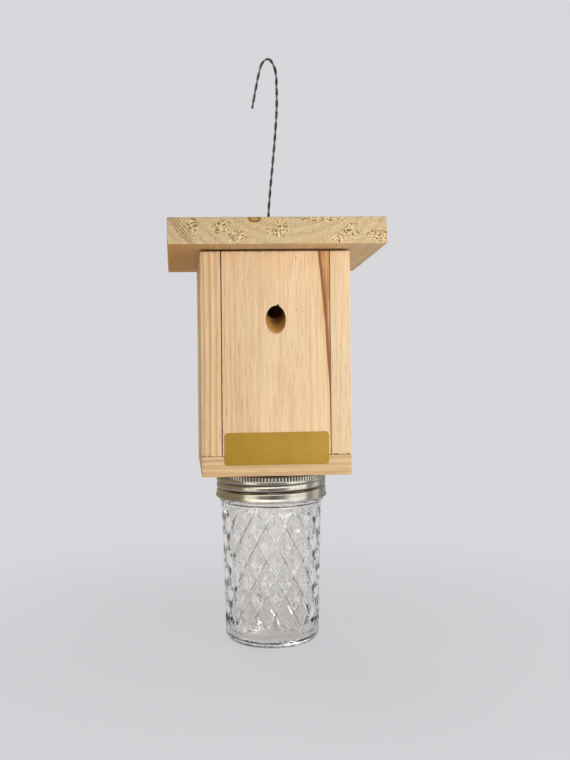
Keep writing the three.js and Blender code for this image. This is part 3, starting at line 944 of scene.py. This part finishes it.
for number in range(1, 4):
    screw_low, screw_high = (Vector(corner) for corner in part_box(f"lid_screw_{number}"))
    point = (screw_low + screw_high) / 2
    point.z = screw_low.z
    screw_tip = -screw_head_thickness - screw_length
    screw = turned([
        (0, screw_tip),
        (screw_shank / 2, screw_tip + screw_point),
        (screw_shank / 2, -screw_head_thickness),
        (screw_head / 2, -screw_head_thickness),
        *arc((screw_head / 4, -screw_head_thickness * 0.6), screw_head / 4, 0, 70, 6),
        (0, 0),
    ], 32)
    screw = drive(f"lid_screw_{number}_steel", screw, point, Vector((0, 0, 1)))
    recesses = []
    for reach in ((recess_reach, recess_width), (recess_width, recess_reach)):
        half = Vector((*reach, screw_head_thickness)) / 2
        recesses.append(block(point - half, point + half))
    bore(screw, recesses)
    finish_piece(screw, "box", nail_steel, "nail_steel", f"lid_screw_{number}")


# The band
# Rolled from thin tinned steel: a lip over the lid, a shoulder, a ring of short flutes to grip, a thread
# rolled in as helical grooves with painted shade and grime beside them, and a flare that ends in an outward
# curl.
band_radius = 0.03585
band_sheet = 0.0003
band_low, band_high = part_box("jar_band")[0][2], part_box("jar_band")[1][2]
lip_width = 0.0047
shoulder_round = 0.0013
flute_count = 106
flute_steps = 5
flute_depth = 0.00042
flute_low, flute_high = 0.1074, 0.1108
flute_end = 0.0006
thread_pitch = 0.004233
thread_start_height = 0.1007
groove_depth = 0.0009
groove_half_width = 0.00062
flare_height = 0.0973
curl_round = 0.00055
curl_centre = (band_radius + 0.0001, band_low + curl_round)
row_height = 0.00035
# Heights of the painted reflection and shade of the board at the band's top.
reflection_shade_low, reflection_shade_high = 0.1102, 0.1108
# Where the painted shade and grime lie above each groove, in groove half-widths.
shade_and_grime_offset = 0.8
shade_and_grime_reach = 1.6


def straight(first, last, step):
    """Evenly spaced points from one point of an outline to another, without the last."""
    rows = max(1, round(math.dist(first, last) / step))
    return [
        tuple(a + (b - a) * row / rows for a, b in zip(first, last))
        for row in range(rows)
    ]


def smooth_step(value, low, high):
    """0 below low, 1 above high, and smooth between them."""
    share = min(1, max(0, (value - low) / (high - low)))
    return share * share * (3 - 2 * share)


def groove_at(angle, height):
    """How deep the rolled thread is at a place: a helical groove of about one turn and a half."""
    turns = (angle + math.pi / 2) / (2 * math.pi)
    depth = 0
    for lap in (-1, 0, 1, 2):
        along = turns + lap
        strength = smooth_step(along, -0.5, -0.15) * (1 - smooth_step(along, 0.45, 1.35))
        off = (height - thread_start_height - thread_pitch * along) / groove_half_width
        depth += strength * groove_depth * math.exp(-off * off)
    return depth


band = turned([
    (band_radius - lip_width, band_high - band_sheet),
    (band_radius - lip_width + band_sheet, band_high),
    (band_radius - shoulder_round * 2, band_high),
    *arc((band_radius - shoulder_round, band_high - shoulder_round), shoulder_round, 90, 20, 5),
    *straight((band_radius, band_high - shoulder_round), (band_radius, flare_height), row_height),
    (band_radius, flare_height),
    (band_radius + 0.0001, flare_height - 0.0007),
    *arc(curl_centre, curl_round, 45, -230, 14),
], flute_count * flute_steps)
for vert in band.verts:
    radius = math.hypot(vert.co.x, vert.co.y)
    angle = math.atan2(vert.co.y, vert.co.x)
    if radius < band_radius - shoulder_round or vert.co.z < flare_height:
        continue
    grip = smooth_step(vert.co.z, flute_low, flute_low + flute_end)
    grip *= 1 - smooth_step(vert.co.z, flute_high - flute_end, flute_high)
    dent = flute_depth * grip * (1 + math.cos(flute_count * angle)) / 2 + groove_at(angle, vert.co.z)
    vert.co.xy *= (radius - dent) / radius
if sum(face.normal.dot(face.calc_center_median()) for face in band.faces) < 0:
    bmesh.ops.reverse_faces(band, faces=band.faces)
band = make_object("screw_band", band)
wall = band.modifiers.new("wall", "SOLIDIFY")
wall.thickness = band_sheet
wall.offset = -1

band_steel, place, shader = start_material("band_steel")
rolling = cloud(stretched(place, (25, 25, 3200)), 1, 4, 0.6)
haze = cloud(place, 130, 4)
across, deep, height = parts_of(place)
angle = calculate("ARCTAN2", deep, across)
# Painted shade in the hollows of the flutes.
flute_shade = calculate("COSINE", angle * flute_count).spread(-0.3, 0.5)
flute_shade = flute_shade * height.spread(flute_low, flute_low + flute_end, 0, 0.85)
turns = (angle + math.pi / 2) / (2 * math.pi)
risen = (height - thread_start_height) / thread_pitch
along = calculate("ROUND", risen - turns) + turns
above_groove = (risen - along) * (thread_pitch / groove_half_width)
# Painted shade and grime in dark bands just above the thread's grooves.
thread_shade_and_grime = along.spread(-0.45, -0.25, smooth=True) * along.spread(0.9, 1.3, 0.95, 0, smooth=True)
thread_shade_and_grime = thread_shade_and_grime * abs(above_groove - shade_and_grime_offset).spread(0.5, shade_and_grime_reach, 1, 0, smooth=True)
# Painted reflection and shade of the board above, browning the band's top.
board_reflection_shade = height.spread(reflection_shade_low, reflection_shade_high, 0, 0.85)
band_colour = blend_colours(haze.spread(0.35, 0.65), paint(184, 180, 171), paint(166, 161, 151))
# Painted shade in the flutes, painted shade and grime by the thread, and a painted reflection and shade of
# the board at the top, laid over the band's grey in turn.
for share, dark_tone in ((flute_shade, (64, 58, 48)), (thread_shade_and_grime, (70, 63, 52)), (board_reflection_shade, (74, 44, 22))):
    band_colour = blend_colours(share, band_colour, paint(*dark_tone))
dress(shader, band_colour, haze.spread(0.3, 0.7, 0.13, 0.24), rolling, 0.12, 0.00004, metal)
finish_piece(band, "band", band_steel, "band_steel", "jar_band", sharp=60)


# The jar
# Pressed clear glass: a smooth heel and foot, a wall quilted with pillowed diamonds, a plain shoulder, a bead
# under the band and a threaded finish. It is smooth inside.
foot_radius = 0.03065
top_radius = 0.03305
heel_round = 0.0065
wall_thickness = 0.003
floor_thickness = 0.0046
push_up = 0.0016
rest_ring_width = 0.0034
finish_radius = 0.0333
finish_wall = 0.0031
rim_round = 0.0008
glass_bead_radius = 0.0343
glass_bead_low, glass_bead_high = 0.0916, 0.0938
shoulder_height = 0.0894
diamond_count = 16
diamond_height = 0.022
diamond_steps = 20
quilt_low, quilt_high = 0.012, 0.0885
quilt_fade = 0.004
pillow_depth = 0.0009
groove_cut_depth = 0.0008
groove_cut_width = 0.0016
line_offset = 0.07
line_half_width = 0.045
jar_thread_height = 0.0014
jar_thread_half_width = 0.0011
jar_thread_middle = jar_top - 0.0062
jar_thread_turns = 1.3
quilt_row = diamond_height / (2 * diamond_steps)


def quilt_at(angle, height):
    """How far the diamond quilting is cut into the jar's wall at a place."""
    around = angle * diamond_count / (2 * math.pi)
    up = height / diamond_height
    line_gap = 1 / math.hypot(diamond_count / (2 * math.pi * top_radius), 1 / diamond_height)
    nearest = min(abs(lean - round(lean)) for lean in (around + up, around - up)) * line_gap
    pillow = pillow_depth * (1 - 2 * nearest / line_gap) ** 2
    groove = groove_cut_depth * max(0, 1 - nearest / groove_cut_width) ** 1.5
    ends = smooth_step(height, quilt_low, quilt_low + quilt_fade)
    ends *= 1 - smooth_step(height, quilt_high - quilt_fade, quilt_high)
    return ends * (pillow + groove)


def jar_thread_at(angle, height):
    """How far the jar's thread stands out at a place of the finish."""
    stand = 0
    for lap in (0, 1):
        turns = angle / (2 * math.pi) % 1 + lap
        if turns > jar_thread_turns:
            continue
        ends = min(1, 4 * min(turns, jar_thread_turns - turns))
        middle = jar_thread_middle + thread_pitch * (turns - jar_thread_turns / 2)
        off = (height - middle) / jar_thread_half_width
        stand = max(stand, jar_thread_height * ends * max(0, 1 - off * off))
    return stand


rest_radius = foot_radius - heel_round
inner_foot = foot_radius - wall_thickness
inner_corner = heel_round - wall_thickness / 2
bead_round = (glass_bead_high - glass_bead_low) / 2
jar = turned([
    (0, push_up),
    (rest_radius - rest_ring_width - push_up, push_up),
    (rest_radius - rest_ring_width, 0.0001),
    (rest_radius - rest_ring_width + 0.0005, 0),
    *arc((rest_radius, heel_round), heel_round, -90, 0, 12),
    *straight((foot_radius + 0.00002, heel_round + 0.001), (top_radius, shoulder_height), quilt_row),
    (top_radius, shoulder_height),
    (top_radius, glass_bead_low - 0.0006),
    *arc((glass_bead_radius - bead_round, glass_bead_low + bead_round), bead_round, -80, 80, 8),
    *straight((finish_radius, glass_bead_high + 0.0003), (finish_radius, jar_top - rim_round), row_height),
    *arc((finish_radius - rim_round, jar_top - rim_round), rim_round, 0, 90, 4),
    *arc((finish_radius - finish_wall + rim_round, jar_top - rim_round), rim_round, 90, 180, 4),
    (finish_radius - finish_wall, glass_bead_low),
    (top_radius - wall_thickness, shoulder_height - 0.002),
    (inner_foot, heel_round),
    *arc((inner_foot - inner_corner, floor_thickness + inner_corner), inner_corner, 0, -90, 10),
    (0, floor_thickness),
], diamond_count * diamond_steps)
wall_lean = (top_radius - foot_radius) / (shoulder_height - heel_round)
for vert in jar.verts:
    radius = math.hypot(vert.co.x, vert.co.y)
    angle = math.atan2(vert.co.y, vert.co.x)
    wall_here = foot_radius + wall_lean * (vert.co.z - heel_round)
    if heel_round < vert.co.z < shoulder_height and radius > wall_here - wall_thickness / 2:
        vert.co.xy *= (radius - quilt_at(angle, vert.co.z)) / radius
    elif vert.co.z > glass_bead_high and radius > finish_radius - finish_wall / 2:
        vert.co.xy *= (radius + jar_thread_at(angle, vert.co.z)) / radius
jar = make_object("quilted_jar", jar)

clear_glass, place, shader = start_material("clear_glass")
flow = cloud(place, 90, 2)
ripple = cloud(place, 360, 2)
breaks = cloud(place, 170, 2).spread(0.4, 0.54)
across, deep, height = parts_of(place)
around = calculate("ARCTAN2", deep, across) * (diamond_count / (2 * math.pi))
up = height / diamond_height
# Painted shade: thin dark lines beside the quilting's grooves, standing in for the dark edges that the
# grooves refract.
dark_line_masks = []
for lean in (around + up, up - around):
    off_line = calculate("FRACT", lean + 0.5) - (0.5 + line_offset)
    dark_line_masks.append(abs(off_line).spread(0, line_half_width, 1, 0, smooth=True))
wall_middle = foot_radius - wall_lean * heel_round - wall_thickness * 0.7
outside = (slant(across, deep) - (height * wall_lean + wall_middle)).spread(-0.0001, 0.0001)
quilted = height.spread(quilt_low, quilt_low + quilt_fade)
quilted = quilted * height.spread(quilt_high - quilt_fade, quilt_high, 1, 0)
painted_dark_lines = any_of(*dark_line_masks) * outside * quilted * breaks
glass_colour = blend_colours(painted_dark_lines, paint(249, 248, 244), paint(84, 80, 70))
dress(
    shader, glass_colour, ripple.spread(0.3, 0.7, 0, 0.03), ripple * 0.4 + flow, 0.6, 0.0008,
    {"Transmission Weight": 1.0, "IOR": 1.5},
)
finish_piece(jar, "jar", clear_glass, "clear_glass", "glass_jar", sharp=75)


# The hanging wire and its washer
# Two dark steel strands twisted together, bent to a hook above the roof. Below it their ends spread under a
# steel washer, which keeps them from pulling through.
strand_plump = 0.00006
strand_closing = 0.00014
strand_reach = 0.0016
wire_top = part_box("hanger_strand_a")[1][2]
washer_radius = 0.009
washer_thickness = 0.0012
washer_round = 0.0002
dark_wire = mottled(
    "dark_wire", 700, 4, reach=(0.35, 0.65), tones=((104, 98, 92), (40, 36, 33)), roughness=(0.2, 0.4),
    relief=(0.3, 0.00006), steady=metal,
)
strand_nodes = ("hanger_strand_a", "hanger_strand_b")
strand_places = {}
for node in strand_nodes:
    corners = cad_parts[node].data.vertices
    strand_places[node] = kdtree.KDTree(len(corners))
    for corner in corners:
        strand_places[node].insert(corner.co, corner.index)
    strand_places[node].balance()


def strand_middle(node, place):
    """The middle of what a strand has near a place."""
    near = [found[0] for found in strand_places[node].find_range(place, strand_reach)]
    return sum(near, Vector()) / len(near) if near else place


for node, other in (strand_nodes, strand_nodes[::-1]):
    strand = bmesh.new()
    strand.from_mesh(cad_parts[node].data)
    bmesh.ops.remove_doubles(strand, verts=strand.verts, dist=0.000001)
    strand.normal_update()
    for vert in strand.verts:
        beside = strand_middle(other, vert.co)
        if (beside - vert.co).length > 0:
            vert.co += (beside - strand_middle(node, vert.co)).normalized() * strand_closing
        vert.co += vert.normal * strand_plump
        vert.co.z = min(vert.co.z, wire_top)
    strand = make_object(f"{node}_wire", strand)
    rounding = strand.modifiers.new("rounding", "SUBSURF")
    rounding.levels = 2
    rounding.render_levels = 2
    finish_piece(strand, "hanger", dark_wire, "dark_wire", node)

washer_low, washer_high = (Vector(corner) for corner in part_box("hanger_washer"))
half_washer = washer_thickness / 2
washer = ring(wire_bore / 2, washer_radius, -half_washer, half_washer, washer_round, 3, 64)
move(washer, (washer_low + washer_high) / 2, roof_turn)
washer = make_object("wire_washer", washer)
finish_piece(washer, "box", tinplate, "tinplate", "hanger_washer")
